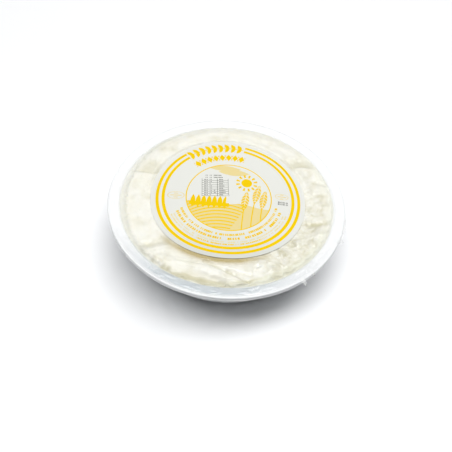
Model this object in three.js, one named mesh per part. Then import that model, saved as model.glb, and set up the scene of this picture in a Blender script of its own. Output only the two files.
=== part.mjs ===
// Goat ricotta in a round sealed tub: a white moulded tub with a wide sealing flange and a turned-down
// lip, the basket-moulded cheese that fills it, the clear film drawn down over the cheese, and the round
// paper label on the film. Millimetres, +Z up, origin at the centre of the base, -Y is the front.
import * as THREE from 'three';

// Driving dimensions
const HEIGHT = 44; // floor to the top of the flange
const RIM_RADIUS = 95; // outside of the lip
const FLANGE_INNER = 86; // where the flange turns down into the wall
const SEAL_INNER = 89; // the flange is flat outside this radius and slopes down inside it
const SEAL_DROP = 0.8; // height of that slope
const WALL = 1; // moulded wall thickness
const TAPER = THREE.MathUtils.degToRad(18); // wall from the vertical
const CORNER_RADIUS = 12; // outside, between wall and base
const LIP_DEPTH = 3.7; // turned-down edge of the flange
const EDGE_BREAK = 0.5; // rounding of the lip's upper edge

const CHEESE_RADIUS = 82.2; // mean radius of the cheese at its top edge
const CHEESE_SHIFT = 1.8; // the cheese sits this far towards +X
const RIB_COUNT = 48; // ribs that the draining basket left round the cheese
const RIB_DEPTH = 0.8;
const SHOULDER = [[3, 1.5], [0.8, 2.8], [0, 5]]; // rounded top edge: [in from the side, down from the film]
const CHEESE_SIDE = 32; // height above the floor where the ribs meet the tub wall

const FILM = 0.5; // film thickness
const FILM_RADIUS = 94.4; // the film is trimmed just inside the lip
const PAPER = 0.4; // label thickness
const LABEL_RADIUS = 62.3;
const LABEL_X = 0.75;
const LABEL_Y = 1.1;
const LABEL_RISE = 2; // label's centre above the flange
const BEND_SPAN = 57; // distance from the label's centre at which its bend is given, as heights
const LEAN = -0.54; // towards +X
const SLOPE = 2.88; // towards +Y
const DROOP = -2.82; // at both sides
const TWIST = -0.72;
const CURL = 2.26; // the front edge lifts, the back edge dips
const CURL_START = -0.58; // where the front begins to lift, as a share of BEND_SPAN

const SWELL = 1.5; // low ridge of the cheese round the back
const SWELL_RADIUS = 74;
const SWELL_WIDTH = 6;
const FOLD_RAMP = 5; // folds start at the label's edge and end at the flange over this distance
const GAP = 0.35; // clearance between pieces that lie on each other

const SECTORS = 96; // facets round the tub, the cheese and the film
const TOP_RINGS = [24, 46, 58, 62, 66, 70, 74]; // radii of the vertex rings, close where the relief shows
const EDGE_RINGS = [78, 82, FLANGE_INNER, FILM_RADIUS];
const LABEL_SECTORS = 64;
const LABEL_RINGS = [18, 34, 46, 55, LABEL_RADIUS];
const CORNER_STEPS = 6;

// Folds of the film and the cheese under it, from one end to the other: x, y, x, y, half width, height
const FOLDS = [
  [-70, -54, -57, -55, 3.5, -2.2], // valley that runs in under the label at the front left
  [-57, -55, -40, -48, 4, -2.4],
  [-60, -62, -41, -55, 4, 1.2], // swell in front of that valley
  [-42, -67, -10, -67, 3, -1.8], // trough along the front
  [-44, -73, -22, -74, 3, 2.2], // the large fold between trough and rim
  [-22, -74, -4, -78, 3, 2],
  [-3, -74, 20, -82, 2.5, 1.2], // pinched crease that ends it
  [-8, -66, 22, -78, 2.5, -1.4],
  [13, -68, 29, -63, 4, 1.4], // swell right of the middle
  [22, -74, 38, -68, 2.5, -1.3],
  [66, -30, 80, -20, 4, 1.8], // long curd at the right and the cleft behind it
  [62, -18, 82, -15, 3, -2.2],
  [46, 43, 70, 41, 4, -2], // steps down the right side
  [52, 36, 70, 36, 3, 0.8],
  [62, 26, 79, 26, 3, -1.1],
  [66, 12, 80, 12, 3, -1.2],
  [66, 2, 82, 1, 2.5, -0.9],
  [66, -9, 81, -7, 2.5, -1],
  [-77, 23, -58, 23, 4.5, -2.2], // step at the upper left
  [-76, 14, -62, 15, 3, 0.8],
];

// Loose curds at the front right: x, y, radius, height
const CURDS = [
  [48, -47, 6, 1.5],
  [43, -57, 5, 1.3],
  [52, -60, 4.5, 1.1],
  [62, -40, 5, 1.4],
  [60, -50, 5, 1],
  [44, -67, 4, 1.3],
  [70, -39, 4, 1.1],
  [34, -74, 4.5, 1],
];

const smooth = (low, high, value) => THREE.MathUtils.smoothstep(value, low, high);
const bell = (distance, width, height) => height * Math.exp(-((distance / width) ** 2));

// The bent paper, above the flange: its sides droop, and its front edge curls up off the film. With
// curled false the front runs on straight, as the film under it does
function labelHeight(x, y, curled = true) {
  const u = (x - LABEL_X) / BEND_SPAN;
  const v = (y - LABEL_Y) / BEND_SPAN;
  const bend = curled ? v : Math.max(v, CURL_START);
  return LABEL_RISE + LEAN * u + DROOP * u * u + TWIST * u * v + SLOPE * bend - CURL * bend ** 3;
}

// Height of a fold: a bell-shaped ridge or trough round the line between its two ends
function foldHeight(x, y, [x0, y0, x1, y1, width, height]) {
  const lengthSquared = (x1 - x0) ** 2 + (y1 - y0) ** 2;
  const along = ((x - x0) * (x1 - x0) + (y - y0) * (y1 - y0)) / lengthSquared;
  const t = THREE.MathUtils.clamp(along, 0, 1);
  const distance = Math.hypot(x - THREE.MathUtils.lerp(x0, x1, t), y - THREE.MathUtils.lerp(y0, y1, t));
  return bell(distance, width, height);
}

// Underside of the film, above the flange: it follows the label in the middle, lies on the flange
// outside, and carries the folds, the curds and the swell along the back in between
function filmHeight(x, y) {
  const radius = Math.hypot(x, y);
  const fromLabel = Math.hypot(x - LABEL_X, y - LABEL_Y);
  const pastLabel = Math.max(0, fromLabel - LABEL_RADIUS);
  const toFlange = Math.max(0, FLANGE_INNER - radius);
  const inward = Math.min(1, LABEL_RADIUS / Math.max(fromLabel, 1));
  const paper = labelHeight(LABEL_X + (x - LABEL_X) * inward, LABEL_Y + (y - LABEL_Y) * inward, false);
  const underLabel = paper - PAPER - FILM - 2 * GAP;
  const level = THREE.MathUtils.lerp(underLabel, GAP, smooth(0, 1, pastLabel / (pastLabel + toFlange)));
  const towardsBack = smooth(-0.2, 0.8, y / Math.max(radius, 1));
  const swell = towardsBack * bell(radius - SWELL_RADIUS, SWELL_WIDTH, SWELL);
  const folds = FOLDS.reduce((sum, fold) => sum + foldHeight(x, y, fold), 0);
  const curds = CURDS.reduce((sum, [cx, cy, r, h]) => sum + bell(Math.hypot(x - cx, y - cy), r, h), 0);
  const open = smooth(0, FOLD_RAMP, pastLabel) * smooth(1, 1 + FOLD_RAMP, toFlange);
  return level + open * (swell + folds + curds);
}

// Inner face of the tub wall at a height above the floor
function cavityRadius(z) {
  return FLANGE_INNER - (HEIGHT - z) * Math.tan(TAPER);
}

// Corner between wall and base, from the floor up to the wall: an arc about one centre for both faces
function cornerPoints(radius, steps = CORNER_STEPS) {
  const centre = cavityRadius(CORNER_RADIUS) + (WALL - CORNER_RADIUS) / Math.cos(TAPER);
  return Array.from({ length: steps + 1 }, (_, k) => {
    const angle = (Math.PI / 2 - TAPER) * (k / steps);
    const x = centre + radius * Math.sin(angle);
    return new THREE.Vector2(x, CORNER_RADIUS - radius * Math.cos(angle));
  });
}

// A closed body from a first point, rings of points round the axis, and a last point. Where the rings
// run back inwards, each quad is split the other way, so that both faces of a sheet are split alike
function ringBody(first, rings, last, sectors) {
  const positions = [...first];
  for (const ring of rings) {
    for (let s = 0; s < sectors; s += 1) positions.push(...ring((s / sectors) * 2 * Math.PI));
  }
  positions.push(...last);
  const end = positions.length / 3 - 1;
  const at = (ring, s) => 1 + ring * sectors + (s % sectors);
  const reach = rings.map((ring) => Math.hypot(...ring(0).slice(0, 2)));
  const index = [];
  for (let s = 0; s < sectors; s += 1) {
    index.push(0, at(0, s), at(0, s + 1));
    for (let ring = 0; ring + 1 < rings.length; ring += 1) {
      const [a, b, c, d] = [at(ring, s), at(ring + 1, s), at(ring + 1, s + 1), at(ring, s + 1)];
      if (reach[ring + 1] < reach[ring]) index.push(a, b, d, b, c, d);
      else index.push(a, b, c, a, c, d);
    }
    index.push(end, at(rings.length - 1, s + 1), at(rings.length - 1, s));
  }
  const geometry = new THREE.BufferGeometry();
  geometry.setAttribute('position', new THREE.Float32BufferAttribute(positions, 3));
  geometry.setIndex(index);
  geometry.computeVertexNormals();
  return geometry;
}

// A thin sheet of even thickness over a disc: rings outwards on top and back inwards underneath
function sheetBody(cx, cy, radii, sectors, underside, thickness) {
  const ring = (radius, rise) => (angle) => {
    const x = cx + radius * Math.cos(angle);
    const y = cy + radius * Math.sin(angle);
    return [x, y, underside(x, y) + rise];
  };
  const rings = [...radii.map((r) => ring(r, thickness)), ...radii.toReversed().map((r) => ring(r, 0))];
  const middle = underside(cx, cy);
  return ringBody([cx, cy, middle + thickness], rings, [cx, cy, middle], sectors);
}

// White tub: base, rounded corner, tapered wall, flange and turned-down lip, turned about the axis
function tubGeometry() {
  const outerCorner = cornerPoints(CORNER_RADIUS);
  const innerCorner = cornerPoints(CORNER_RADIUS - WALL);
  const underFlange = HEIGHT - WALL;
  const outerWall = cavityRadius(underFlange) + WALL / Math.cos(TAPER);
  const profile = [
    new THREE.Vector2(0, 0),
    ...outerCorner,
    new THREE.Vector2(outerWall, underFlange),
    new THREE.Vector2(RIM_RADIUS - WALL, underFlange),
    new THREE.Vector2(RIM_RADIUS - WALL, HEIGHT - LIP_DEPTH),
    new THREE.Vector2(RIM_RADIUS, HEIGHT - LIP_DEPTH),
    new THREE.Vector2(RIM_RADIUS, HEIGHT - EDGE_BREAK),
    new THREE.Vector2(RIM_RADIUS - EDGE_BREAK, HEIGHT),
    new THREE.Vector2(SEAL_INNER, HEIGHT),
    new THREE.Vector2(cavityRadius(HEIGHT - SEAL_DROP), HEIGHT - SEAL_DROP),
    ...innerCorner.reverse(),
    new THREE.Vector2(0, WALL),
  ];
  return new THREE.LatheGeometry(profile, SECTORS).rotateX(Math.PI / 2);
}

// Cheese: relief on top, a rounded shoulder, ribbed sides, and the tub's own shape below
function cheeseGeometry() {
  const ribs = (angle) => RIB_DEPTH * Math.cos(RIB_COUNT * angle);
  const side = (angle) => CHEESE_RADIUS + CHEESE_SHIFT * Math.cos(angle) + ribs(angle);
  const topRing = (radius) => (angle) => {
    const x = radius * Math.cos(angle);
    const y = radius * Math.sin(angle);
    return [x, y, HEIGHT + filmHeight(x, y) - GAP];
  };
  const shoulderRing = ([inset, drop]) => (angle) => {
    const radius = Math.min(side(angle) - inset, cavityRadius(HEIGHT - drop) - GAP);
    const x = radius * Math.cos(angle);
    const y = radius * Math.sin(angle);
    return [x, y, HEIGHT + Math.min(filmHeight(x, y), 0) - drop];
  };
  const sideRing = (angle) => {
    const radius = Math.min(side(angle), cavityRadius(CHEESE_SIDE) - GAP);
    return [radius * Math.cos(angle), radius * Math.sin(angle), CHEESE_SIDE];
  };
  const lowerPoints = cornerPoints(CORNER_RADIUS - WALL - GAP, CORNER_STEPS - 2).reverse();
  const rings = [
    ...TOP_RINGS.map(topRing),
    ...SHOULDER.map(shoulderRing),
    sideRing,
    ...lowerPoints.map((point) => (angle) => [point.x * Math.cos(angle), point.x * Math.sin(angle), point.y]),
  ];
  const top = [0, 0, HEIGHT + filmHeight(0, 0) - GAP];
  return ringBody(top, rings, [0, 0, WALL + GAP], SECTORS);
}

function filmGeometry() {
  return sheetBody(0, 0, [...TOP_RINGS, ...EDGE_RINGS], SECTORS, (x, y) => HEIGHT + filmHeight(x, y), FILM);
}

function labelGeometry() {
  const underside = (x, y) => HEIGHT + labelHeight(x, y) - PAPER;
  return sheetBody(LABEL_X, LABEL_Y, LABEL_RINGS, LABEL_SECTORS, underside, PAPER);
}

function piece(name, geometry, color, roughness, extra = {}) {
  const material = new THREE.MeshStandardMaterial({ color, roughness, metalness: 0, ...extra });
  const mesh = new THREE.Mesh(geometry, material);
  mesh.name = name;
  return mesh;
}

const pack = new THREE.Group();
pack.add(piece('tub', tubGeometry(), '#f4f7f7', 0.35));
pack.add(piece('ricotta', cheeseGeometry(), '#f4efdf', 0.6));
pack.add(piece('film', filmGeometry(), '#eef2f0', 0.1, { transparent: true, opacity: 0.2 }));
pack.add(piece('label', labelGeometry(), '#eceee6', 0.55));

export default pack;
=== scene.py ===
# %% [markdown]
# # Goat ricotta in a sealed tub
# A round white tub holds fresh ricotta that was drained in a ribbed basket. A clear film is sealed to the
# tub's flange and drawn down over the cheese, and a round paper label lies on the film. The tub, the
# cheese, the film and the label are each one closed surface worked out with numpy, in millimetres, round
# the centre of the base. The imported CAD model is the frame: every piece here takes the place of its node.

import math

import bpy
import numpy as np
from mathutils import Matrix, Vector


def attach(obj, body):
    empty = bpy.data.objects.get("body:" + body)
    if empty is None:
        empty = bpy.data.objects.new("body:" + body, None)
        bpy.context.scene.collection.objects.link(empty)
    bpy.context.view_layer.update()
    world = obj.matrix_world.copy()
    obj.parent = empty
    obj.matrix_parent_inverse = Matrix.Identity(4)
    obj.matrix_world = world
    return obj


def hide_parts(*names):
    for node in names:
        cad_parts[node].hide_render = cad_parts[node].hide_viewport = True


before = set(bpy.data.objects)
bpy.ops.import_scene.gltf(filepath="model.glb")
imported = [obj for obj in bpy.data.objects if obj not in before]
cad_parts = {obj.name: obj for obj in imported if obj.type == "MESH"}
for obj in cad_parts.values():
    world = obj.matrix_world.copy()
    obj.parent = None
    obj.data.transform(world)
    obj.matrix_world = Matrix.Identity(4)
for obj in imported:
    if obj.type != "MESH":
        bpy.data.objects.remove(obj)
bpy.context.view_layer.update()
MM = 0.001
print("CAD nodes:", sorted(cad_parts))

# %% [markdown]
# ## Camera
# The pack is seen from above and in front, and the picture is rolled a little. The view is given by the
# pixel where the rim's centre shows, the distance to it in millimetres, the elevation and the roll; the
# focal length is in pixels. A camera could be placed by eye, but its three axes give its place and its
# turn from these few numbers, so it can be matched to circles of a known size.

# %% Place the camera
# height of the tub's rim over the table, in millimetres
HEIGHT = 44.0
IMAGE_SIZE = 452
FOCAL_LENGTH = 600
RIM_CENTRE = (227.34, 198.22)
DISTANCE = 481.7
ELEVATION = math.radians(50.32)
ROLL = math.radians(-4.88)
SENSOR = 36

level = np.array([1, 0, 0])
upright = np.array([0, math.sin(ELEVATION), math.cos(ELEVATION)])
backwards = np.array([0, -math.cos(ELEVATION), math.sin(ELEVATION)])
right = math.cos(ROLL) * level - math.sin(ROLL) * upright
up = math.sin(ROLL) * level + math.cos(ROLL) * upright
across = (RIM_CENTRE[0] - IMAGE_SIZE / 2) / FOCAL_LENGTH
above = (IMAGE_SIZE / 2 - RIM_CENTRE[1]) / FOCAL_LENGTH
viewpoint = np.array([0, 0, HEIGHT]) + DISTANCE * (backwards - across * right - above * up)

camera = bpy.data.objects.new("camera", bpy.data.cameras.new("camera"))
camera_turn = Matrix(np.array([right, up, backwards]).T).to_4x4()
camera.matrix_world = Matrix.Translation(viewpoint * MM) @ camera_turn
camera.data.sensor_width = SENSOR
camera.data.lens = FOCAL_LENGTH * SENSOR / IMAGE_SIZE
bpy.context.scene.collection.objects.link(camera)
bpy.context.scene.camera = camera
print("camera at", (viewpoint * MM).round(3), "m, lens", round(camera.data.lens, 1), "mm")

# %% [markdown]
# ## Light
# A wide softbox hangs over the table and leans a little to the front, so the shadow gathers close under
# the rim. A panel behind gives the film its pale shine. A large lamp softens a shadow's edge, so the
# angles that each one spans matter more than its distance. An area light of area A and power P shines
# with radiance P / (pi A), so each lamp is given by that radiance, which is what a reflection picks up.

# %% Hang the softboxes
WORLD_LIGHT = 0.04


def softbox(name, azimuth, elevation, distance, broad, tall, radiance):
    """Round or oval panel that faces the tub: azimuth in degrees from the front towards the right,
    elevation, distance in metres, and the two angles that it spans as the tub sees it. Returns its light on
    a level white card, as for a small lamp: radiance times area times the sine of the elevation, over pi
    times the distance squared."""
    a, e = math.radians(azimuth), math.radians(elevation)
    direction = Vector((math.sin(a) * math.cos(e), -math.cos(a) * math.cos(e), math.sin(e)))
    width, height = (2 * distance * math.tan(math.radians(angle / 2)) for angle in (broad, tall))
    lamp = bpy.data.lights.new(name, "AREA")
    lamp.shape = "ELLIPSE"
    lamp.size = width
    lamp.size_y = height
    area = math.pi / 4 * width * height
    lamp.energy = radiance * math.pi * area
    holder = bpy.data.objects.new(name, lamp)
    turn = direction.to_track_quat("Z", "Y").to_matrix().to_4x4()
    holder.matrix_world = Matrix.Translation(direction * distance) @ turn
    holder.visible_camera = False
    bpy.context.scene.collection.objects.link(holder)
    return radiance * area * math.sin(e) / (math.pi * distance**2)


above_tub = {"azimuth": 25, "elevation": 86.5, "distance": 2.5, "broad": 72, "tall": 31, "radiance": 6.0}
behind_tub = {"azimuth": 180, "elevation": 50, "distance": 1.5, "broad": 40, "tall": 36, "radiance": 1.6}
card_light = WORLD_LIGHT + softbox("softbox_above", **above_tub) + softbox("panel_behind", **behind_tub)

world = bpy.data.worlds.new("studio")
world.use_nodes = True
world.node_tree.nodes["Background"].inputs["Color"].default_value = (1, 1, 1, 1)
world.node_tree.nodes["Background"].inputs["Strength"].default_value = WORLD_LIGHT
bpy.context.scene.world = world
bpy.context.scene.view_settings.view_transform = "Standard"
print("light on a level white card, 1 is full white:", round(card_light, 2))

# %% [markdown]
# ## Helpers for meshes
# All four pieces are round, so each is a stack of rings: an array of points with one row for each ring
# and one column for each direction round the axis. Joining neighbours gives a grid of quads, and closing
# the first and the last ring over their middle gives a solid. Rings that run outwards on top and back
# inwards underneath have their faces pointing out, so no normals have to be turned afterwards.

# %% Closed body from rings


def ring_body(name, rings):
    """Mesh from an array (ring, direction, xyz) in millimetres: quads join each ring to the next, and a
    fan of triangles closes the first and the last ring over its mean point."""
    count, sectors = rings.shape[:2]
    points = np.concatenate([rings[0].mean(0)[None], rings.reshape(-1, 3), rings[-1].mean(0)[None]])
    ring, sector = np.mgrid[0 : count - 1, 0:sectors]
    after = (sector + 1) % sectors
    corners = [(ring, sector), (ring + 1, sector), (ring + 1, after), (ring, after)]
    quads = np.stack([1 + r * sectors + s for r, s in corners], -1).reshape(-1, 4)
    here = 1 + np.arange(sectors)
    there = 1 + (np.arange(sectors) + 1) % sectors
    last = (count - 1) * sectors
    first_fan = np.stack([0 * here, here, there], -1)
    last_fan = np.stack([0 * here + len(points) - 1, last + there, last + here], -1)
    mesh = bpy.data.meshes.new(name)
    faces = first_fan.tolist() + quads.tolist() + last_fan.tolist()
    mesh.from_pydata((points * MM).tolist(), [], faces)
    mesh.shade_smooth()
    piece = bpy.data.objects.new(name, mesh)
    bpy.context.scene.collection.objects.link(piece)
    triangles = 2 * len(quads) + 2 * sectors
    lowest, highest = points[:, 2].min().round(2), points[:, 2].max().round(2)
    print(name, triangles, "triangles, height", lowest, "to", highest, "mm")
    return piece


def write_attribute(piece, name, values):
    """One number for each point of the rings; the two middle points of the end fans get zero."""
    attribute = piece.data.attributes.new(name, "FLOAT", "POINT")
    padded = np.concatenate([[0], np.ravel(values), [0]])
    attribute.data.foreach_set("value", padded.astype(np.float32))


def directions(sectors, crowding=0):
    """Angles round the axis: even ones, less `crowding` times their cosine, which draws them together at
    the front, where the picture looks closest."""
    even = np.linspace(0, 2 * np.pi, sectors, endpoint=False)
    return even - crowding * np.cos(even)


# %% [markdown]
# ## Helpers for relief
# Heights are functions of x and y, computed for a whole grid at once. A smooth step and a bell are the
# basic forms. Two kinds of noise give what is irregular: gradient noise for soft waves, folded over for
# sharp-topped ones, and cells round scattered points for grains. The scatter comes from a fixed formula of
# the cell's number, so every run gives the same cheese.

# %% Steps, bells and noise


def smooth(low, high, value):
    """Smooth step from 0 at `low` to 1 at `high`: 3 t squared less 2 t cubed."""
    t = np.clip((value - low) / (high - low), 0, 1)
    return t * t * (3 - 2 * t)


def bell(distance, width, height):
    """Bell curve: height times e to the minus square of distance over width."""
    return height * np.exp(-((distance / width) ** 2))


def scatter(column, row, seed):
    """Random number from 0 to 1 for each lattice cell: the far decimals of a sine."""
    wild = np.sin(column * 127.1 + row * 311.7 + seed * 74.7) * 43758.5453
    return wild - np.floor(wild)


def waves(x, y, size, seed):
    """Gradient noise, about -1 to 1: each corner of a lattice `size` mm wide has a random slope, and the
    four slopes round a point are blended by a smooth step."""
    column, row = np.floor(x / size), np.floor(y / size)
    fx, fy = x / size - column, y / size - row
    corner = []
    for dy in (0, 1):
        for dx in (0, 1):
            turn = 2 * np.pi * scatter(column + dx, row + dy, seed)
            corner.append(np.cos(turn) * (fx - dx) + np.sin(turn) * (fy - dy))
    sx, sy = smooth(0, 1, fx), smooth(0, 1, fy)
    front = corner[0] + sx * (corner[1] - corner[0])
    back = corner[2] + sx * (corner[3] - corner[2])
    return 1.5 * (front + sy * (back - front))


def cells(x, y, size, seed):
    """Distance, in cells, to the nearest of one random point in each lattice cell, and that point's own
    random number."""
    column, row = np.floor(x / size), np.floor(y / size)
    nearest = np.full(np.shape(x), np.inf)
    tone = np.zeros(np.shape(x))
    for dx in (-1, 0, 1):
        for dy in (-1, 0, 1):
            c, r = column + dx, row + dy
            point_x, point_y = c + scatter(c, r, seed), r + scatter(c, r, seed + 1)
            distance = np.hypot(x / size - point_x, y / size - point_y)
            tone = np.where(distance < nearest, scatter(c, r, seed + 2), tone)
            nearest = np.minimum(nearest, distance)
    return nearest, tone


def ridged(x, y, size, seed):
    """Sharp-topped waves from 0 to 1: one less the size of a soft wave, squared."""
    return (1 - np.minimum(1, np.abs(waves(x, y, size, seed)))) ** 2


sample = waves(*np.mgrid[0:60, 0:60], 7.0, 1)
print("soft waves span", sample.min().round(2), "to", sample.max().round(2))

# %% [markdown]
# ## Shape of the pack
# The driving sizes are the CAD part's. Under the film the curd lies in folds, and in two places a lump
# broke away and left a low terrace. Single curds stand up round the edge, most of them at the front and
# at the right. Such forms could be sculpted by hand, but as short lists of places and sizes, in
# millimetres, they stay easy to compare with a real pack.

# %% Driving sizes, folds, terraces and curds
RIM_RADIUS = 95.0
FLANGE_INNER = 86.0
SEAL_INNER = 89.0
LABEL_CENTRE = (0.75, 1.1)
LABEL_RADIUS = 62.3
LABEL_RISE = 2.0
BEND_SPAN = 57.0
LEAN, SLOPE, DROOP, TWIST, CURL = -0.54, 2.88, -2.82, -0.72, 2.26
CURL_START = -0.58
FOLD_RAMP = 5.0
FLANGE_RAMP = 2.4

# x, y of each point along the line, then half width and height; a trough has a height below zero
FOLDS = [
    (-68, -53, -57, -53, 3.6, -1.0),
    (-57, -53, -43, -46, 4.0, -1.1),
    (-60, -60, -42, -53, 3.6, 1.2),
    (-46, -64.5, -24, -68, -2, -73.5, 17, -82, 3.8, 1.3),
    (-42, -74.5, -2, -81.5, 4.4, -1.9),
    (-13, -64, 1, -70.5, 20, -79.5, 1.7, -1.2),
    (5, -71, 22, -74, 1.6, -0.8),
    (66, -19, 80, -16, 2.4, -1.6),
    (52, 48, 68, 46, 3.4, -1.0),
    (70, 26, 80, 24, 2.0, -0.9),
    (71, 12, 80, 12, 1.8, -0.9),
    (74, 3, 81, 2, 1.6, -0.7),
]

# x, half width, depth, y of the step at the front, length towards the back
TERRACES = [(-68, 12, 1.5, 20, 13), (58, 10, 1.2, 41, 8)]

# x, y, radius, height
CURDS = [
    (26, -61, 5.5, 1.3),
    (35, -68, 4.5, 1.1),
    (44, -49, 4.6, 1.3),
    (44, -59, 4.8, 1.5),
    (56, -38, 4.4, 1.2),
    (60, -49, 5.0, 1.1),
    (67, -37, 4.8, 1.4),
    (73, -25, 4.8, 1.3),
    (66, -7, 5.0, 0.8),
    (70, 18, 4.5, 0.7),
    (-49.5, -66, 2.3, 1.0),
    (-43.5, -70, 2.2, 0.9),
    (-37, -73.5, 2.2, 0.9),
    (-28, -78, 2.2, 0.7),
    (-13, -81.5, 2.4, 0.9),
    (5, -82, 2.2, 0.6),
    (26, -64, 2.4, 0.9),
    (37, -66, 2.2, 0.7),
    (44, -52, 2.4, 0.9),
    (45, -62, 2.4, 0.9),
    (56, -41, 2.2, 0.8),
    (67, -40, 2.4, 0.9),
    (73, -28, 2.2, 0.9),
    (-68, -30, 6.0, 0.6),
    (-72, -8, 6.0, 0.6),
]
print(len(FOLDS), "folds,", len(TERRACES), "terraces and", len(CURDS), "curds")

# %% [markdown]
# The label is bent paper: its sides droop, and its front edge lifts off the film. The film lies close
# under it, is drawn up a little at that lifted edge, and then runs out to the flange. Between the label
# and the flange it follows the curd's forms, which fade out at both ends so that it stays sealed flat.

# %% Heights of the label and of the draped film
LABEL_GAP = 0.42
FLANGE_GAP = 0.2
LIFT_REACH = 6.5
LIFT_SHARE = 0.95
STEP_RUN = 2.5


def label_height(x, y, curled=True):
    """Paper above the flange: a tilt, a droop to both sides and a cubic curl from front to back."""
    u = (x - LABEL_CENTRE[0]) / BEND_SPAN
    v = (y - LABEL_CENTRE[1]) / BEND_SPAN
    bend = v if curled else np.maximum(v, CURL_START)
    return LABEL_RISE + LEAN * u + DROOP * u * u + TWIST * u * v + SLOPE * bend - CURL * bend**3


def along_line(x, y, *ends):
    """Distance from the broken line through two or more points, given as x, y, x, y and so on."""
    nearest = np.inf
    for x0, y0, x1, y1 in zip(ends[:-3:2], ends[1:-2:2], ends[2:-1:2], ends[3::2]):
        run, rise = x1 - x0, y1 - y0
        t = np.clip(((x - x0) * run + (y - y0) * rise) / (run**2 + rise**2), 0, 1)
        nearest = np.minimum(nearest, np.hypot(x - x0 - t * run, y - y0 - t * rise))
    return nearest


def terrace(x, y, middle, width, depth, front, reach, run=STEP_RUN):
    """Lowered ground: a smooth step down at its front, a bell across and a bell towards the back."""
    along = smooth(front, front + run, y) * bell(np.maximum(0, y - front), reach, 1)
    return -bell((x - middle) / width, 1, depth) * along


def draped_height(x, y):
    """Underside of the film above the flange: just under the label, flat on the flange, and a smooth step
    between the two, to which the folds, curds and terraces are added."""
    radius = np.hypot(x, y)
    from_label = np.hypot(x - LABEL_CENTRE[0], y - LABEL_CENTRE[1])
    past_label = np.maximum(0, from_label - LABEL_RADIUS)
    to_flange = np.maximum(0, FLANGE_INNER - radius)
    inward = np.minimum(1, LABEL_RADIUS / np.maximum(from_label, 1))
    px = LABEL_CENTRE[0] + (x - LABEL_CENTRE[0]) * inward
    py = LABEL_CENTRE[1] + (y - LABEL_CENTRE[1]) * inward
    under_label = label_height(px, py, False) - LABEL_GAP
    share = smooth(0, 1, past_label / (past_label + to_flange + 1e-6))
    level_height = under_label * (1 - share) + FLANGE_GAP * share
    towards_back = smooth(-0.2, 0.8, y / np.maximum(radius, 1))
    swell = towards_back * (bell(radius - 76, 6, 1.0) - bell(past_label - 3, 4, 1.2))
    folds = sum(bell(along_line(x, y, *fold[:-2]), fold[-2], fold[-1]) for fold in FOLDS)
    curds = sum(bell(np.hypot(x - cx, y - cy), size, rise) for cx, cy, size, rise in CURDS)
    terraces = sum(terrace(x, y, *place) for place in TERRACES)
    lifted_by = label_height(px, py) - label_height(px, py, False)
    lift = bell(from_label - LABEL_RADIUS, LIFT_REACH, LIFT_SHARE) * lifted_by
    is_open = smooth(0, FOLD_RAMP, past_label) * smooth(0.5, 0.5 + FLANGE_RAMP, to_flange)
    return level_height + lift + is_open * (swell + folds + curds + terraces)


print("film over the front fold:", round(float(draped_height(-33.0, -71.0)), 2), "mm above the flange")

# %% [markdown]
# ## Tub
# The tub is moulded polypropylene, about a millimetre thick: a flat base, a rounded corner, a tapered
# wall, a flange and a turned-down lip. It could be a stack of cylinders, but such a part is one profile
# turned about the axis, so only the profile has to be drawn: straight runs between named points, and arcs
# where the mould has a radius.

# %% Turn the tub's profile
WALL = 1.0
TAPER = math.radians(18)
CORNER_RADIUS = 12.0
LIP_DEPTH = 3.7
SEAL_DROP = 0.8
TUB_SECTORS = 384


def cavity_radius(z):
    """Inside radius of the wall at a height: the flange's, less the depth times the taper's tangent."""
    return FLANGE_INNER - (HEIGHT - z) * math.tan(TAPER)


def arc(centre, radius, start, end, steps=8):
    """Points on a circle, angles in degrees from +r towards +z."""
    angles = np.radians(np.linspace(start, end, steps))
    return np.stack([centre[0] + radius * np.cos(angles), centre[1] + radius * np.sin(angles)], -1)


def tub_profile():
    """Inside from the middle of the floor up to the flange, round the lip, and down the outside."""
    corner = (cavity_radius(CORNER_RADIUS) + (WALL - CORNER_RADIUS) / math.cos(TAPER), CORNER_RADIUS)
    under = HEIGHT - WALL
    seal_foot = HEIGHT - SEAL_DROP
    seal_edge = cavity_radius(seal_foot)
    outer_wall = cavity_radius(under) + WALL / math.cos(TAPER)
    taper_end = -math.degrees(TAPER)
    return np.concatenate(
        [
            [(1, WALL), (30, WALL)],
            arc(corner, CORNER_RADIUS - WALL, -90, taper_end, 12),
            [(seal_edge - 0.25, seal_foot - 0.8), (seal_edge, seal_foot - 0.2)],
            [(seal_edge + 0.5, seal_foot), (SEAL_INNER - 0.3, HEIGHT - 0.06)],
            [(SEAL_INNER + 0.3, HEIGHT), (RIM_RADIUS - 1.5, HEIGHT)],
            arc((RIM_RADIUS - 0.8, HEIGHT - 0.8), 0.8, 90, -20, 8),
            [(RIM_RADIUS - 0.5, HEIGHT - 1.5), (RIM_RADIUS - 0.4, HEIGHT - 1.8)],
            [(RIM_RADIUS, HEIGHT - 2.1), (RIM_RADIUS, HEIGHT - LIP_DEPTH + 0.3)],
            arc((RIM_RADIUS - 0.5, HEIGHT - LIP_DEPTH + 0.4), 0.4, -10, -170, 7),
            [(RIM_RADIUS - WALL, HEIGHT - LIP_DEPTH + 0.6), (RIM_RADIUS - WALL, under - 0.3)],
            [(RIM_RADIUS - WALL - 0.3, under), (outer_wall + 0.8, under), (outer_wall, under - 0.6)],
            arc(corner, CORNER_RADIUS, taper_end, -90, 14),
            [(30, 0), (1, 0)],
        ]
    )


profile = tub_profile()
around = directions(TUB_SECTORS)
tub = ring_body(
    "tub_moulded",
    np.stack(
        [
            profile[:, :1] * np.cos(around),
            profile[:, :1] * np.sin(around),
            np.repeat(profile[:, 1:], TUB_SECTORS, 1),
        ],
        -1,
    ),
)

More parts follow.
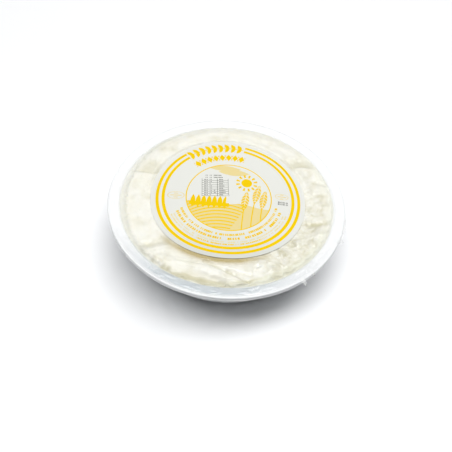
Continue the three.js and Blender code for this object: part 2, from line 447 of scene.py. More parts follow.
# %% [markdown]
# ## Film
# The film is far thinner than any other part, and where it is drawn tight over the curd it shows the
# curd's large forms only. What makes it read as film are its sharp creases, where it was pinched, and the
# glints on its small wrinkles. Cloth simulation would give random ones, so they are placed by formula:
# creases are narrow tents with a sharp top, wrinkles are ridged noise, and where the film is sealed to
# the flange the noise is stretched round the rim, as the hot ring of the machine leaves it.

# %% Film height with creases and wrinkles
FILM_THICKNESS = 0.12
FILM_RADIUS = 94.2
FILM_SECTORS = 560

# x, y of each point along the line, half width, height
CREASES = [
    (-84, 14, -76, 39, 0.9, 0.5),
    (56, 54, 53, 41, 0.8, -0.6),
    (-40, -59, -43, -70, 0.9, 0.5),
    (-34, -65, -10, -67, 0.8, -0.6),
    (-43, -67, -26, -67.6, 0.5, 0.35),
    (-26, -69.5, -8, -72.5, 0.5, 0.35),
    (0, -72, 20, -81, 0.6, 0.7),
    (5, -73, 22, -76, 0.7, -0.5),
    (-33, -79, -24, -78, 0.8, 0.6),
    (-60, -59, -50, -64, 0.8, 0.5),
    (24, -68, 33, -62, 0.7, 0.5),
    (66, -33, 79, -25, 0.8, 0.5),
]


def film_height(x, y):
    """Underside of the film above the table: the draped shape, with creases, bumps and wrinkles over the
    cheese, and on the flange streaks that run round it, fading towards the lip."""
    radius, angle = np.hypot(x, y), np.arctan2(y, x)
    front = smooth(10, 75, -y)
    front_right = smooth(20, 60, x - y - 20)
    over_cheese = smooth(61, 67, radius) * smooth(84, 78, radius)
    on_flange = smooth(86, 88, radius)
    creases = sum(c[-1] * np.exp(-along_line(x, y, *c[:-2]) / c[-2]) for c in CREASES)
    bumps = 0.10 * waves(x, y, 3.4, 5) * (0.3 + 1.8 * front_right) + 0.22 * waves(x, y, 8.0, 7)
    wrinkles = 0.06 * front * ridged(x + 0.3 * y, 2.2 * y, 7.0, 11)
    in_patches = smooth(-0.4, 0.3, waves(x, y, 13, 18))
    streaks = ridged(angle * 24 + 0.3 * radius, radius, 2.6, 17) * in_patches
    crinkle = (0.1 + 0.75 * streaks) * (0.1 + 0.9 * front) * smooth(94, 90, radius)
    relief = over_cheese * (creases + bumps + wrinkles) + on_flange * crinkle
    return HEIGHT + draped_height(x, y) + relief


print("film over the sealed flange:", round(float(film_height(0.0, -90.0)), 2), "mm above the table")

# %% [markdown]
# The film was cut a little inside the lip, so its edge wanders, and at the right a flap and three slivers
# of it hang over. The sheet's outer radius is therefore a function of the direction. The last part of each
# ring is stretched to reach it, and what passes the lip droops. Two attributes tell the material where the
# film is slack, over the gap between cheese and wall and past the lip, and where its seal shows milky; the
# seal's bluish-grey haze shows towards the front only, as painted shade.

# %% Lay the film
# direction in degrees, half width in degrees, reach past the cut edge
FLAPS = [(-13, 8, 2.4), (-21, 1.2, 3.6), (-45, 0.9, 3.4), (-51, 1.0, 6.0)]


def film_edge(angle):
    """Radius of the cut edge: a wandering line, and a bell for each flap that hangs over the lip."""
    wander = 0.35 * waves(angle * 14, 0 * angle, 1, 3) + 0.2 * waves(angle * 60, 0 * angle, 1, 4)
    turn = np.degrees(angle) + 180
    flaps = sum(bell((turn - at) % 360 - 180, width, reach) for at, width, reach in FLAPS)
    return FILM_RADIUS + wander + flaps * (1 + 0.3 * waves(angle * 45, 0 * angle, 1, 6))


def film_rings():
    """Upper and lower sheet: rings every half millimetre from under the label's edge out, at the film's
    height, and what passes the lip lowered by about a third of what it sticks out."""
    angle = directions(FILM_SECTORS, 0.5)[None]
    ring_radii = np.concatenate([[6, 25, 42, 52], np.arange(58, FILM_RADIUS + 0.1, 0.5)])[:, None]
    stretch = smooth(90, FILM_RADIUS, ring_radii)
    radius = ring_radii + stretch * (film_edge(angle) - FILM_RADIUS)
    x, y = radius * np.cos(angle), radius * np.sin(angle)
    droop = 0.35 * np.maximum(0, radius - RIM_RADIUS + 0.5)
    z = film_height(x, y) - droop
    underside = np.stack([x, y, z], -1)
    return np.concatenate([underside + [0, 0, FILM_THICKNESS], underside[::-1]])


film_points = film_rings()
film = ring_body("film_sealed", film_points)
film_x, film_y = film_points[..., 0], film_points[..., 1]
film_radius = np.hypot(film_x, film_y)
gap_edge = film_radius + 1.5 * waves(film_x, film_y, 9, 91)
over_gap = smooth(78, 83, gap_edge) * smooth(88, 86, film_radius)
past_lip = smooth(FILM_RADIUS, RIM_RADIUS, film_radius)
write_attribute(film, "slack", over_gap * (0.35 + 0.65 * smooth(0, 80, -film_x)) + past_lip)
# painted shade: the seal band is milky bluish-grey only towards the front
seal_front_shade = smooth(35, 88, -film_y) * (1 - 0.35 * smooth(0, 60, film_x))
seal_band = smooth(85.5, 86.5, film_radius) * smooth(95.5, 91, film_radius)
write_attribute(film, "seal_and_shade", seal_band * seal_front_shade)

# %% [markdown]
# ## Ricotta
# The cheese fills the tub and touches the film from below. So its top is the film's shape less a small
# depth: cracks between soft curds, pits, and a grain, all deeper at the right, where the curd broke up.
# Its outline is the round of the draining basket, with the marks of its ribs, and it reaches further out
# at the back and at the front left. Displacing the mesh by a texture would give one even crust instead.

# %% Depth of the curd and outline of the cheese
CHEESE_RADIUS = 82.2
CHEESE_SHIFT = 1.8
FULL_BEARING = math.radians(245)
RIB_COUNT = 48
RIB_DEPTH = 0.4
SHOULDER = 2.2
CHEESE_TOP = 42.7
CHEESE_FOOT = 1.4
CHEESE_SECTORS = 600
CLEARANCE = 0.08


def curd_depth(x, y):
    """Depth below the film, zero on the top of a curd: cubed ridged noise for cracks, round pits in a few
    cells, soft waves, and the squared distance within each cell for grain."""
    broken = smooth(15, 42, x) * smooth(45, -20, y)
    edge = smooth(80, 76, np.hypot(x, y))
    cracks = ridged(x, y, 8.5, 31) ** 3 + 0.6 * ridged(x, y, 4.5, 32) ** 3
    grain, grain_tone = cells(x, y, 2.1, 41)
    pits = smooth(0.35, 0.1, grain) * (grain_tone > 0.86)
    soft = np.maximum(0, waves(x, y, 9, 51))
    grains = (0.06 + 0.2 * broken) * grain**2 + 0.2 * broken * ridged(x, y, 2.8, 33) ** 2
    return edge * ((0.12 + 0.26 * broken) * cracks + 0.4 * pits) + 0.4 * soft + grains


def cheese_side(angle):
    """Radius of the side: a circle set a little to the right, fuller in two places, with narrow marks of
    the ribs from a high power of a sine, and a crumbled outline."""
    ribs = RIB_DEPTH * (1 - 3 * np.abs(np.sin(RIB_COUNT / 2 * angle)) ** 12)
    crumbled = 0.9 * waves(angle * 20, 0 * angle, 1, 61) + 0.4 * waves(angle * 70, 0 * angle, 1, 62)
    full_back = 2.6 * smooth(0.2, 0.9, np.sin(angle))
    full_front = 2.2 * smooth(0.6, 0.95, np.cos(angle - FULL_BEARING))
    return CHEESE_RADIUS + CHEESE_SHIFT * np.cos(angle) + full_back + full_front + ribs + crumbled


outline = cheese_side(directions(CHEESE_SECTORS))
print("cheese outline from", outline.min().round(1), "to", outline.max().round(1), "mm")

# %% [markdown]
# At the edge the top turns down over a shoulder, and below it the side follows the tub's wall down to the
# base. The side below the shoulder is hidden, so it needs a few rings only.

# %% Lay the cheese


def cheese_rings():
    """Rings out over the top, a quarter turn of the shoulder, then down the wall and back to the middle.
    Returns the points and the curd's depth at each."""
    angle = directions(CHEESE_SECTORS, 0.4)[None]
    top_edge = cheese_side(angle) - SHOULDER
    share = np.concatenate([[0.05, 0.3, 0.5, 0.65], np.linspace(0.74, 1, 52)])[:, None]
    radius = share * top_edge
    x, y = radius * np.cos(angle), radius * np.sin(angle)
    depth = curd_depth(x, y)
    z = film_height(x, y) - CLEARANCE - depth
    top = np.stack([x, y, z], -1)
    turn = np.radians(np.linspace(8, 90, 9))[:, None]
    reach = np.minimum(top_edge + SHOULDER * np.sin(turn), cavity_radius(HEIGHT - 2) - 0.5)
    edge_x, edge_y = reach * np.cos(angle), reach * np.sin(angle)
    fall = film_height(edge_x, edge_y) - CLEARANCE - 0.35 * SHOULDER * (1 - np.cos(turn)) - depth[-1:]
    shoulder = np.stack([edge_x, edge_y, fall], -1)
    brim = cavity_radius(CHEESE_TOP)
    lower = [(brim - 0.45, CHEESE_TOP), (brim - 0.15, CHEESE_TOP - 0.1), (cavity_radius(14) - 0.3, 14)]
    lower += [(60, CHEESE_FOOT), (2, CHEESE_FOOT)]
    sides = [np.stack([r * np.cos(angle), r * np.sin(angle), h + 0 * angle], -1) for r, h in lower]
    hidden = np.zeros((len(lower), CHEESE_SECTORS))
    turned = np.zeros((len(turn), CHEESE_SECTORS))
    return np.concatenate([top, shoulder, *sides]), np.concatenate([depth, turned, hidden])


cheese_points, cheese_depth = cheese_rings()
cheese = ring_body("ricotta_curd", cheese_points)

# %% [markdown]
# Light sinks into moist curd and comes back yellower from hollows than from bumps. To trace that takes
# very many rays, so three attributes carry painted shade: shade in the hollows, deeper in the troughs and
# on the terraces, and patchy along the front edge; whey, which stands round the rim and is painted
# stronger towards the front as shade; and a warm painted shadow under the label's raised front edge,
# where light has come through yellow print.

# %% Shades of the curd


def tan_shade(x, y):
    """Painted shade: darker curd in a bell across each trough, and on the low ground of the terraces."""
    troughs = sum(bell(along_line(x, y, *f[:-2]), f[-2], -0.5 * f[-1]) for f in FOLDS if f[-1] < 0)
    low = sum(-terrace(x, y, c, w, 0.8, f, reach, 2.0) for c, w, _, f, reach in TERRACES)
    return troughs + low


curd_x, curd_y = cheese_points[..., 0], cheese_points[..., 1]
curd_radius = np.hypot(curd_x, curd_y)
bearing = np.degrees(np.arctan2(curd_y, curd_x)) % 360
# painted shade along the front edge near the rim, broken into patches
in_patches = smooth(-0.7, 0.5, waves(curd_x, 2 * curd_y, 9, 97))
rim_shade = 0.85 * smooth(79, 83, curd_radius) * smooth(45, 80, -curd_y) * in_patches
# painted shade: the curd's depth, the troughs and terraces, and the front edge darken its colour
write_attribute(cheese, "hollow_shade", cheese_depth + 0.6 * tan_shade(curd_x, curd_y) + rim_shade)

whey_edge = 78 + bell(bearing - 238, 35, 6.5) + bell(bearing - 90, 45, 4)
whey_edge = whey_edge + 0.8 * waves(curd_x, curd_y, 6, 95)
# whey round the rim, painted stronger towards the front, where shade falls
whey_and_shade_share = 0.3 + 0.7 * smooth(0, 70, -curd_y)
whey_and_shade = whey_and_shade_share * smooth(-0.5, 2.5, curd_radius - whey_edge)
write_attribute(cheese, "whey_and_shade", whey_and_shade)

from_label = np.hypot(curd_x - LABEL_CENTRE[0], curd_y - LABEL_CENTRE[1])
# painted warm shadow under the label's raised front edge, as if lit through the yellow print
near_label = np.minimum(1, bell(np.maximum(0, from_label - LABEL_RADIUS), 4.0, 1.4))
write_attribute(cheese, "label_edge_shadow", near_label * smooth(36, 58, -curd_y) * smooth(45, 10, curd_x))
print("whey shows on", round(100 * float((whey_and_shade > 0.5).mean())), "% of the cheese's points")

# %% [markdown]
# ## Label
# The label is coated paper, a tenth of a millimetre thick, bent over the pack. It is the same kind of
# sheet as the film, round its own centre. Its UV map is the flat paper, so the print bends with it. Two
# attributes say which face is printed, and where painted shade greys the paper towards its front edge.

# %% Lay the label
PAPER_THICKNESS = 0.1
LABEL_SECTORS = 320
PRINT_SPAN = 130.0


def label_rings():
    """Upper face ring by ring, the last ones close together at the cut edge, then the same rings lower by
    the paper's thickness. Towards the edge the paper waves a little."""
    angle = directions(LABEL_SECTORS)[None]
    radius = np.concatenate([np.linspace(2, 60, 30), [61.2, 62, 62.22, 62.25]])[:, None]
    edge_wave = 0.12 * smooth(40, 62, radius) * waves(angle * 3, radius * 0.02, 1, 71)
    x, y = LABEL_CENTRE[0] + radius * np.cos(angle), LABEL_CENTRE[1] + radius * np.sin(angle)
    top = np.stack([x, y, HEIGHT + label_height(x, y) + edge_wave], -1)
    return np.concatenate([top, top[::-1] - [0, 0, PAPER_THICKNESS]])


label_points = label_rings()
label = ring_body("label_paper", label_points)
flat = np.zeros(len(label.data.vertices) * 3)
label.data.vertices.foreach_get("co", flat)
flat = flat.reshape(-1, 3)[:, :2] / MM - LABEL_CENTRE
corner_vertex = np.zeros(len(label.data.loops), np.int32)
label.data.loops.foreach_get("vertex_index", corner_vertex)
paper_map = label.data.uv_layers.new(name="paper")
paper_map.data.foreach_set("uv", (flat[corner_vertex] / PRINT_SPAN + 0.5).ravel().astype(np.float32))
label_y = label_points[..., 1]
# painted shade: the paper greys towards its front edge
write_attribute(label, "front_shade", smooth(25, 60, -label_y))
# the rings of the upper face come first
write_attribute(label, "printed", np.arange(label_y.size) < label_y.size / 2)

# %% [markdown]
# ## Helpers for materials
# Colours are written as the hex values a picture shows and turned to linear light by one function. One
# function adds a node. The label's print is many small formulas, so a class lets them be written as plain
# arithmetic: each operation on a field adds one Math node. A comparison gives 1 or 0, so "and" is the
# smaller of two fields and "or" the larger.

# %% Colours, nodes and fields


def linear(hex_colour):
    """sRGB hex to linear: a channel v becomes ((v + 0.055) / 1.055) to the 2.4, or v / 12.92 if dark."""
    values = [int(hex_colour[k : k + 2], 16) / 255 for k in (1, 3, 5)]
    return tuple(((v + 0.055) / 1.055) ** 2.4 if v > 0.04045 else v / 12.92 for v in values) + (1.0,)


def add_node(tree, kind, inputs=None, **settings):
    """Adds a node with its settings, and gives each input a value or the socket it is linked from."""
    node = tree.nodes.new(kind)
    for name, value in settings.items():
        setattr(node, name, value)
    for name, value in (inputs or {}).items():
        if isinstance(value, bpy.types.NodeSocket):
            tree.links.new(value, node.inputs[name])
        else:
            node.inputs[name].default_value = value
    return node


def new_material(name):
    """Material with an empty node tree."""
    material = bpy.data.materials.new(name)
    material.use_nodes = True
    tree = material.node_tree
    tree.nodes.clear()
    return material, tree


class Field:
    """A number that varies over a surface: a node socket that can be added, compared and so on."""

    def __init__(self, tree, socket):
        self.tree = tree
        self.socket = socket

    def apply(self, operation, *others):
        """New Math node that takes this field first, then the other fields or numbers."""
        terms = (self, *others)
        inputs = {k: term.socket if isinstance(term, Field) else term for k, term in enumerate(terms)}
        node = add_node(self.tree, "ShaderNodeMath", inputs, operation=operation)
        return Field(self.tree, node.outputs[0])

    def __add__(self, other):
        return self.apply("ADD", other)

    def __sub__(self, other):
        return self.apply("SUBTRACT", other)

    def __mul__(self, other):
        return self.apply("MULTIPLY", other)

    def __truediv__(self, other):
        return self.apply("DIVIDE", other)

    def __lt__(self, other):
        return self.apply("LESS_THAN", other)

    def __gt__(self, other):
        return self.apply("GREATER_THAN", other)

    def __and__(self, other):
        return self.apply("MINIMUM", other)

    def __or__(self, other):
        return self.apply("MAXIMUM", other)

    def __abs__(self):
        return self.apply("ABSOLUTE")

    def length(self, other):
        """Length of the slanting side over two fields at right angles."""
        return (self * self + other * other).apply("SQRT")

    def between(self, low, high):
        return (self > low) & (self < high)

    def part(self):
        """What is left over a whole number, which repeats a pattern."""
        return self.apply("FRACT")

    def without(self, other):
        """This field where the other one is 0, and 0 elsewhere."""
        return self & (other < 0.5)


print("sRGB #808080 is", round(linear("#808080")[0], 3), "in linear light")

# %% [markdown]
# ## Plastic of the tub
# Such tubs are injection moulded in white polypropylene. To the eye that is a cool, even white with a
# satin skin: a typical IOR of 1.49, a broad highlight, and a bump so low that it only breaks the highlight.
# The speckle is about 1 mm, coarser than a mould's real grain, which is too fine to show here.

# %% Polypropylene of the tub
plastic, tree = new_material("polypropylene moulded white")
coords = add_node(tree, "ShaderNodeTexCoord").outputs["Object"]
speckle = add_node(tree, "ShaderNodeTexNoise", {"Vector": coords, "Scale": 900.0, "Detail": 2.0})
cloud = add_node(tree, "ShaderNodeTexNoise", {"Vector": coords, "Scale": 30.0, "Detail": 1.0})
tint = add_node(tree, "ShaderNodeMix", {"Factor": cloud.outputs["Fac"]}, data_type="RGBA")
tint.inputs["A"].default_value = linear("#F2F4F5")
tint.inputs["B"].default_value = linear("#F5F6F7")
skin = {"Height": speckle.outputs["Fac"], "Strength": 0.05, "Distance": 0.0002}
bump = add_node(tree, "ShaderNodeBump", skin)
finish = {"Base Color": tint.outputs["Result"], "Roughness": 0.32, "IOR": 1.49}
finish["Normal"] = bump.outputs["Normal"]
shader = add_node(tree, "ShaderNodeBsdfPrincipled", finish)
add_node(tree, "ShaderNodeOutputMaterial", {"Surface": shader.outputs["BSDF"]})
tub.data.materials.append(plastic)
print(plastic.name, len(tree.nodes), "nodes")

# %% [markdown]
# ## Curd
# Fresh ricotta is drained, unpressed curd: moist, soft and ivory. Light goes a few millimetres into it, so
# a little subsurface light keeps its bumps soft, and its IOR is near water's. Its colours are laid in the
# order in which they lie: cream in patches of about 15 mm, whey round the rim, painted stronger towards
# the front as shade, painted shade in the hollows, and a warm painted shadow under the paper. The grain of
# about 1.5 mm is a bump, as single grains don't show.

# %% Ricotta curd
curd, tree = new_material("fresh ricotta curd")
coords = add_node(tree, "ShaderNodeTexCoord").outputs["Object"]
hollow_shade = add_node(tree, "ShaderNodeAttribute", attribute_name="hollow_shade").outputs["Fac"]
grain = add_node(tree, "ShaderNodeTexNoise", {"Vector": coords, "Scale": 700.0, "Detail": 4.0})
patch = add_node(tree, "ShaderNodeTexNoise", {"Vector": coords, "Scale": 60.0, "Detail": 2.0})
spread = {"Value": patch.outputs["Fac"], "From Min": 0.35, "From Max": 0.7}
cream = add_node(tree, "ShaderNodeMapRange", spread)
base = add_node(tree, "ShaderNodeMix", {"Factor": cream.outputs["Result"]}, data_type="RGBA")
base.inputs["A"].default_value = linear("#F2F1E8")
base.inputs["B"].default_value = linear("#EFEDE0")
hollow_shade_amount = add_node(tree, "ShaderNodeMapRange", {"Value": hollow_shade, "From Min": 0.1, "From Max": 1.0})
whey_and_shade = add_node(tree, "ShaderNodeAttribute", attribute_name="whey_and_shade").outputs["Fac"]
# whey colour, which also stands in for shade towards the front
whey_and_shade_tint = add_node(tree, "ShaderNodeMix", {"Factor": whey_and_shade, "A": base.outputs["Result"]}, data_type="RGBA")
whey_and_shade_tint.inputs["B"].default_value = linear("#E8E8D5")
# painted shade colour for the hollows, the troughs, the terraces and the front edge
shaded = {"Factor": hollow_shade_amount.outputs["Result"], "A": whey_and_shade_tint.outputs["Result"], "B": linear("#CDC8A8")}
colour = add_node(tree, "ShaderNodeMix", shaded, data_type="RGBA")
label_edge_shadow = add_node(tree, "ShaderNodeAttribute", attribute_name="label_edge_shadow").outputs["Fac"]
# painted shadow colour under the label's front edge
shaded = {"Factor": label_edge_shadow, "A": colour.outputs["Result"], "B": linear("#BBA96F")}
colour = add_node(tree, "ShaderNodeMix", shaded, data_type="RGBA")
moist_grain = {"Height": grain.outputs["Fac"], "Strength": 0.35, "Distance": 0.0004}
bump = add_node(tree, "ShaderNodeBump", moist_grain)
finish = {"Base Color": colour.outputs["Result"], "Roughness": 0.5, "IOR": 1.38}
finish |= {"Subsurface Weight": 0.25, "Subsurface Radius": (1.0, 0.9, 0.7), "Subsurface Scale": 0.003}
finish["Normal"] = bump.outputs["Normal"]
shader = add_node(tree, "ShaderNodeBsdfPrincipled", finish)
add_node(tree, "ShaderNodeOutputMaterial", {"Surface": shader.outputs["BSDF"]})
cheese.data.materials.append(curd)
print(curd.name, len(tree.nodes), "nodes")

# %% [markdown]
# ## Film
# Sealing film is laminated polyamide and polyethylene. It is seen by its shine alone: it lets light
# straight through and shows a reflection that grows at a low angle. It could be glass, but refraction in
# a sheet this thin costs much and shows nothing, so a clear and a glossy layer are mixed instead. It is a
# little milky where it hangs free over a gap, and more so where it is sealed to the flange: there the haze
# is bluish-grey and shows towards the front only, as painted shade. A closed sheet has two faces, so shine
# and haze count on a face that is seen from outside only. Its fine unevenness is about 2.5 mm, which
# breaks the shine into glints.

# %% Clear film
clear, tree = new_material("polyamide film clear")
coords = add_node(tree, "ShaderNodeTexCoord").outputs["Object"]
fine = add_node(tree, "ShaderNodeTexNoise", {"Vector": coords, "Scale": 420.0, "Detail": 2.0})
slight = {"Height": fine.outputs["Fac"], "Strength": 0.25, "Distance": 0.0004}
bump = add_node(tree, "ShaderNodeBump", slight)
facing = Field(tree, add_node(tree, "ShaderNodeNewGeometry").outputs["Backfacing"]) < 0.5
slack = Field(tree, add_node(tree, "ShaderNodeAttribute", attribute_name="slack").outputs["Fac"])
through = add_node(tree, "ShaderNodeBsdfTransparent", {"Color": linear("#FEFEFE")})
seal_and_shade = Field(tree, add_node(tree, "ShaderNodeAttribute", attribute_name="seal_and_shade").outputs["Fac"])
# bluish-grey seal haze, which stands in for shade on the front flange
milky_and_shaded = add_node(tree, "ShaderNodeMix", {"Factor": seal_and_shade.socket}, data_type="RGBA")
milky_and_shaded.inputs["A"].default_value = linear("#FBFCF9")
milky_and_shaded.inputs["B"].default_value = linear("#B6C2C8")
milk_and_shade = add_node(tree, "ShaderNodeBsdfDiffuse", {"Color": milky_and_shaded.outputs["Result"]})
haze_and_shade = (Field(tree, fine.outputs["Fac"]) * 0.08 + slack * 0.2 + seal_and_shade * 0.4) * facing
hazy_and_shaded = {"Fac": haze_and_shade.socket, 1: through.outputs[0], 2: milk_and_shade.outputs[0]}
sheet = add_node(tree, "ShaderNodeMixShader", hazy_and_shaded)
gloss = add_node(tree, "ShaderNodeBsdfGlossy", {"Roughness": 0.14, "Normal": bump.outputs["Normal"]})
at_low_angle = add_node(tree, "ShaderNodeFresnel", {"IOR": 1.5, "Normal": bump.outputs["Normal"]})
shine = Field(tree, at_low_angle.outputs[0]) * (seal_and_shade * 0.8 + 0.8) * facing
glossy = {"Fac": shine.socket, 1: sheet.outputs[0], 2: gloss.outputs[0]}
shader = add_node(tree, "ShaderNodeMixShader", glossy)
add_node(tree, "ShaderNodeOutputMaterial", {"Surface": shader.outputs[0]})
film.data.materials.append(clear)
print(clear.name, len(tree.nodes), "nodes")

# %% [markdown]
# ## Printed label
# The label is printed in two yellows and a little grey. A real one is an image, and could be one here,
# but the print is drawn by formulas on the flat paper, in millimetres from its centre, so it stays sharp
# from any distance. Two rings run round the edge and stop for a garland of leaves, which are mirrored on
# both sides of a stem, and a row of diamonds with pearls lies under it.

# %% Rings and garland
paper, tree = new_material("coated paper printed")
flat_coords = add_node(tree, "ShaderNodeUVMap", uv_map="paper").outputs["UV"]
axes = add_node(tree, "ShaderNodeSeparateXYZ", {"Vector": flat_coords})
x = (Field(tree, axes.outputs["X"]) - 0.5) * PRINT_SPAN
y = (Field(tree, axes.outputs["Y"]) - 0.5) * PRINT_SPAN
radius = x.length(y)
from_top = x.apply("ARCTAN2", y) * (180 / math.pi)
from_bottom = x.apply("ARCTAN2", y * -1) * (180 / math.pi)

GARLAND = (-42, 11)
LEAF_PAIRS = 9
DIAMONDS = 8


def motif_row(start, end, count, row_radius):
    """Repeats a motif on an arc: the fraction of the angle over the pitch, turned to millimetres along and
    out from the nearest motif's middle, and whether the point is on the arc."""
    pitch = (end - start) / count
    along = ((from_top - start) / pitch).part() - 0.5
    return along * (math.radians(pitch) * row_radius), radius - row_radius, from_top.between(start, end)


rings = (radius.between(51.0, 53.5) | radius.between(55.8, 58.3)).without(from_top.between(*GARLAND))
along, out, inside = motif_row(GARLAND[0] + 1, GARLAND[1] - 1, LEAF_PAIRS, 53.8)
tip = abs(out) * 0.8 - along * 0.6
side = abs(out) * 0.6 + along * 0.8
leaf = ((abs(side - 0.6) + (tip - 2.6) * (tip - 2.6) * 0.13 < 1.75) | (abs(out) < 0.4)) & inside
along, out, inside = motif_row(-44, 15, DIAMONDS, 42)
diamond = (abs(along) + abs(out) * 0.65 < 2.55) & inside
pearl = (abs(abs(along) - 2.7).length(abs(out) - 2.2) < 0.7) & inside
bold = rings | leaf | diamond | pearl
print(LEAF_PAIRS, "pairs of leaves over", DIAMONDS, "diamonds")

# %% [markdown]
# In the middle a round picture shows a sun with clouds over a row of trees, ploughed fields, and ears of
# wheat. Each form is one comparison: a disc, a lens between two parabolas, or stripes from the fraction of
# a height.

# %% Picture of fields and wheat
PICTURE = (0.4, -0.8)
PICTURE_RADIUS = 34.2
HORIZON = -9.0
SUN_RAYS = 12
FURROW_PITCH = 3.3
TREE_PITCH = 4.3
GRAIN_PITCH = 2.9
STALK_FOOT = -34


def lens(across, down, half_width, half_height):
    """Leaf shape between two parabolas: |across| < half width (1 - (down / half height) squared)."""
    return abs(across) + down * down * (half_width / half_height**2) < half_width


from_middle = (x - PICTURE[0]).length(y - PICTURE[1])
frame_line = abs(from_middle - PICTURE_RADIUS) < 0.45
in_picture = from_middle < PICTURE_RADIUS

cloud = lens(y - 29, x + 5, 3, 14) | lens(y - 25, x - 3, 3.4, 13)
sun_x, sun_y = x - 14, y - 15
sun_distance = sun_x.length(sun_y)
sun_turn = (sun_x.apply("ARCTAN2", sun_y) * (SUN_RAYS / (2 * math.pi))).part()
sun = (sun_distance < 4.4) | (sun_distance.between(5.8, 8.8) & (abs(sun_turn - 0.5) < 0.22))

hill = y < (x * 0.16).apply("SINE") * 1.4 + HORIZON
furrow_line = y + (x + 4) * (x + 4) * 0.012
furrows = hill & ((furrow_line / FURROW_PITCH).part() < 0.34) & (x < y * 0.5 + 20)
tree_across = ((x / TREE_PITCH).part() - 0.5) * TREE_PITCH
tree_row = lens(tree_across, y - HORIZON - 1.5, 2.0, 6.5) & x.between(-30, -1.5)
hedge = y.between(HORIZON - 2.5, HORIZON + 1.2) & x.between(-31, 1)

scenery = sun | furrows | tree_row | hedge
for root, height, lean in ((12, -4, 0.0035), (19, 4, 0.005), (26, -1, 0.004)):
    bend = x - root - (y - STALK_FOOT) * (y - STALK_FOOT) * lean * 0.5
    grains = ((y + abs(bend) * 0.9) / GRAIN_PITCH).part() > 0.25
    ear = lens(bend, y - height, 3.0, 10.5) & grains & (abs(bend) > 0.2)
    stalk = (abs(bend) < 0.45) & y.between(STALK_FOOT, height - 8)
    scenery = scenery | ear | stalk

bold = bold | frame_line | (in_picture & scenery)
pale = in_picture & (cloud | hill)
print("picture", 2 * PICTURE_RADIUS, "mm across")

# %% [markdown]
# From a distance small print is read as texture only, so it becomes rows of short dashes: arcs under the
# picture, a small ruled table on it, two ovals and a packing mark. Each dash's length comes from its
# number.

# %% Small print
TEXT_TURN = 5
ROW_PITCH = 2.3
TABLE_TILT = math.radians(5)
TABLE_CENTRE = (-11.5, 10)
TABLE_HALF = (10.8, 11.6)
HEAD_LINE = 3 * ROW_PITCH


def dashes(along, pitch, seed):
    """Marks of uneven length along a line, and now and then none, from the fraction of a sine."""
    number = (along / pitch).apply("FLOOR")
    length = ((number * 12.9898 + seed).apply("SINE") * 437.585).part()
    return ((along / pitch).part() < length * 0.6 + 0.32) & (length > 0.14)


def text_arc(low, high, half_angle, pitch, seed):
    """Dashes between two radii, within an angle on both sides of the lowest point of the print."""
    mark = dashes(from_bottom * math.radians(low), pitch, seed)
    return radius.between(low, high) & (abs(from_bottom - TEXT_TURN) < half_angle) & mark


bold = bold | text_arc(38.4, 40.4, 74, 1.5, 1.3) | text_arc(42.2, 44.4, 70, 1.9, 2.7)
bold = bold | text_arc(48.2, 49.5, 30, 1.5, 4.1)
pale = pale | text_arc(46.1, 47.2, 68, 1.2, 3.9) | text_arc(48.2, 49.4, 68, 1.3, 5.3)

for cx, cy, half_width, half_height in ((-42, -3, 7, 3.8), (43, 5, 5.5, 3)):
    oval = ((x - cx) / half_width).length((y - cy) / half_height)
    bar = (abs(y - cy) < 0.45) & (abs(x - cx) < half_width * 0.65)
    dots = (abs(abs(y - cy) - 2) < 0.4) & (abs(x - cx) < half_width * 0.25)
    pale = pale | oval.between(0.9, 1) | bar | dots

table_x = (x - TABLE_CENTRE[0]) * math.cos(TABLE_TILT) + (y - TABLE_CENTRE[1]) * math.sin(TABLE_TILT)
table_y = (y - TABLE_CENTRE[1]) * math.cos(TABLE_TILT) - (x - TABLE_CENTRE[0]) * math.sin(TABLE_TILT)
in_table = (abs(table_x) < TABLE_HALF[0]) & (abs(table_y) < TABLE_HALF[1])
row = (table_y / ROW_PITCH).apply("FLOOR")
row_part = (table_y / ROW_PITCH).part()
row_length = ((row * 7.31 + 2.1).apply("SINE") * 91.7).part()
below_head = table_y < HEAD_LINE
left_column = table_x.between(-10, row_length * 5 - 4) & below_head
right_column = table_x.between(3.2, row_length * 2.5 + 6) & (table_y < HEAD_LINE + ROW_PITCH)
heading = table_x.between(-8, row_length * 3 + 5) & (table_y > HEAD_LINE)
words = (left_column | right_column | heading) & row_part.between(0.35, 0.75) & dashes(table_x, 1.1, 3.3)
rules = ((row_part < 0.14) | (abs(table_x - 1.8) < 0.2) | (abs(table_x) > 10.5)) & below_head
mark_x, mark_y = x - 44, y + 1.8
packing_mark = (abs(mark_x) < 4) & abs(mark_y).between(0.25, 1.7) & dashes(mark_x, 0.8, 9.2)
dark = (in_table & (words | rules)) | packing_mark
bold = bold.without(in_table)
pale = pale.without(in_table)
print("table of", round(2 * TABLE_HALF[1] / ROW_PITCH), "rows,", ROW_PITCH, "mm apart")

# %% [markdown]
# Last, the inks are laid on the paper in order: pale yellow, full yellow, grey. Coated paper is an even
# white with hardly any sheen, a little cloudy from its fibres, and has a fine tooth of about 0.7 mm, drawn
# coarser than real so that it shows. It lets a fifth of the light through. Towards its front edge, where it
# stands clear of the white cheese, it is painted greyer as shade. The sheet is one layer to the light: its
# lower face lets all through.

# %% Paper and inks
coords = add_node(tree, "ShaderNodeTexCoord").outputs["Object"]
cloudy = add_node(tree, "ShaderNodeTexNoise", {"Vector": coords, "Scale": 120.0, "Detail": 3.0})
tooth = add_node(tree, "ShaderNodeTexNoise", {"Vector": coords, "Scale": 1500.0, "Detail": 2.0})
printed = Field(tree, add_node(tree, "ShaderNodeAttribute", attribute_name="printed").outputs["Fac"])
front_shade = add_node(tree, "ShaderNodeAttribute", attribute_name="front_shade").outputs["Fac"]
base = {"Factor": cloudy.outputs["Fac"], "A": linear("#F2F3ED"), "B": linear("#F5F6F0")}
base = add_node(tree, "ShaderNodeMix", base, data_type="RGBA")
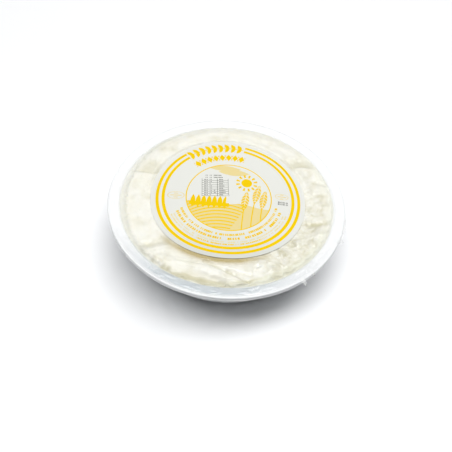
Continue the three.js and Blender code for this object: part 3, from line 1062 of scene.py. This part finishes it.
# painted shade: greyer towards the label's front edge
greyed = {"Factor": front_shade, "A": base.outputs["Result"], "B": linear("#E6E8E1")}
colour = add_node(tree, "ShaderNodeMix", greyed, data_type="RGBA")
for ink, area in (("#F6E4A4", pale), ("#FFD800", bold), ("#75756F", dark)):
    share = area & printed
    layers = {"Factor": share.socket, "A": colour.outputs["Result"], "B": linear(ink)}
    colour = add_node(tree, "ShaderNodeMix", layers, data_type="RGBA")
relief = {"Height": tooth.outputs["Fac"], "Strength": 0.1, "Distance": 0.0001}
bump = add_node(tree, "ShaderNodeBump", relief)
finish = {"Base Color": colour.outputs["Result"], "Roughness": 0.6, "Specular IOR Level": 0.08}
finish["Normal"] = bump.outputs["Normal"]
coated = add_node(tree, "ShaderNodeBsdfPrincipled", finish)
glow = add_node(tree, "ShaderNodeBsdfTranslucent", {"Color": colour.outputs["Result"]})
sheet = add_node(tree, "ShaderNodeMixShader", {"Fac": 0.2, 1: coated.outputs[0], 2: glow.outputs[0]})
through = add_node(tree, "ShaderNodeBsdfTransparent")
one_layer = {"Fac": (printed > 0.5).socket, 1: through.outputs[0], 2: sheet.outputs[0]}
shader = add_node(tree, "ShaderNodeMixShader", one_layer)
add_node(tree, "ShaderNodeOutputMaterial", {"Surface": shader.outputs[0]})
label.data.materials.append(paper)
print("label print:", len(tree.nodes), "nodes")

# %% [markdown]
# ## Table
# The tub stands on a plain white table of matt laminate. It belongs to the picture, not to the part, so
# it is one large quad with a faint mottle.

# %% White table
FLOOR_HALF = 2.0
floor = bpy.data.objects.new("table", bpy.data.meshes.new("table"))
floor_corners = [(-FLOOR_HALF, -FLOOR_HALF, 0), (FLOOR_HALF, -FLOOR_HALF, 0)]
floor_corners += [(FLOOR_HALF, FLOOR_HALF, 0), (-FLOOR_HALF, FLOOR_HALF, 0)]
floor.data.from_pydata(floor_corners, [], [(0, 1, 2, 3)])
bpy.context.scene.collection.objects.link(floor)
white, tree = new_material("white laminate table")
coords = add_node(tree, "ShaderNodeTexCoord").outputs["Object"]
mottle = add_node(tree, "ShaderNodeTexNoise", {"Vector": coords, "Scale": 4.0})
tint = add_node(tree, "ShaderNodeMix", {"Factor": mottle.outputs["Fac"]}, data_type="RGBA")
tint.inputs["A"].default_value = linear("#F7F8F9")
tint.inputs["B"].default_value = linear("#F9FAFB")
matt = {"Base Color": tint.outputs["Result"], "Roughness": 0.6}
shader = add_node(tree, "ShaderNodeBsdfPrincipled", matt)
add_node(tree, "ShaderNodeOutputMaterial", {"Surface": shader.outputs["BSDF"]})
floor.data.materials.append(white)
print("table", 2 * FLOOR_HALF, "m wide")

# %% [markdown]
# ## Join the frame
# Each piece rides on the part's one body and stands for its CAD node, which is hidden.

# %% Ride and replace
for piece, node, slot in [
    (tub, "tub", "tub"),
    (cheese, "ricotta", "cheese"),
    (film, "film", "film"),
    (label, "label", "label"),
]:
    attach(piece, "root")
    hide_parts(node)
